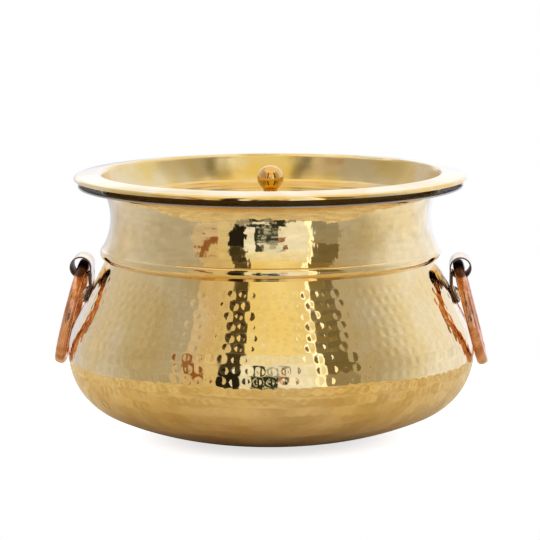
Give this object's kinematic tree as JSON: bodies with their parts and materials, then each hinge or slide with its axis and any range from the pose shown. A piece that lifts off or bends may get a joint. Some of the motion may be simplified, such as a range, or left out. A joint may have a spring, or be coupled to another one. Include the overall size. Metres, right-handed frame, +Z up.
{
  "type": "brass cooking pot",
  "caption": "Round-bellied hammered brass cooking pot with a flared neck, a dished lid with a ball knob, and copper ring handles that swing in strap eyes.",
  "frame": {"origin": "middle of the flat base, on the surface that the pot stands on", "axes": "+Z up along the pot's axis, +X towards the right-hand ring handle, -Y towards the viewer"},
  "size_m": [0.3204, 0.3, 0.2015],
  "materials": {
    "hammered_brass": "polished brass, hammered on the belly and smooth at the neck",
    "polished_brass": "spun and polished brass",
    "strap_brass": "rolled brass strap",
    "plain_brass": "plain brass fasteners",
    "copper": null
  },
  "bodies": {
    "pot": {"pot_body": "hammered_brass", "lid": "polished_brass", "lid_knob": "polished_brass", "knob_washer": "plain_brass", "knob_screw": "plain_brass", "right_bracket": "strap_brass", "left_bracket": "strap_brass", "right_rivet_front": "plain_brass", "right_rivet_back": "plain_brass", "left_rivet_front": "plain_brass", "left_rivet_back": "plain_brass"},
    "right_handle": {"right_ring": "copper"},
    "left_handle": {"left_ring": "copper"}
  },
  "joints": [
    {"name": "right_ring_swing", "type": "hinge", "parent": "pot", "child": "right_handle", "pos_m": [0.13988, 0, 0.12709], "axis": [0, -1, 0], "range_deg": [0, 150]},
    {"name": "left_ring_swing", "type": "hinge", "parent": "pot", "child": "left_handle", "pos_m": [-0.13988, 0, 0.12709], "axis": [0, 1, 0], "range_deg": [0, 150]}
  ]
}
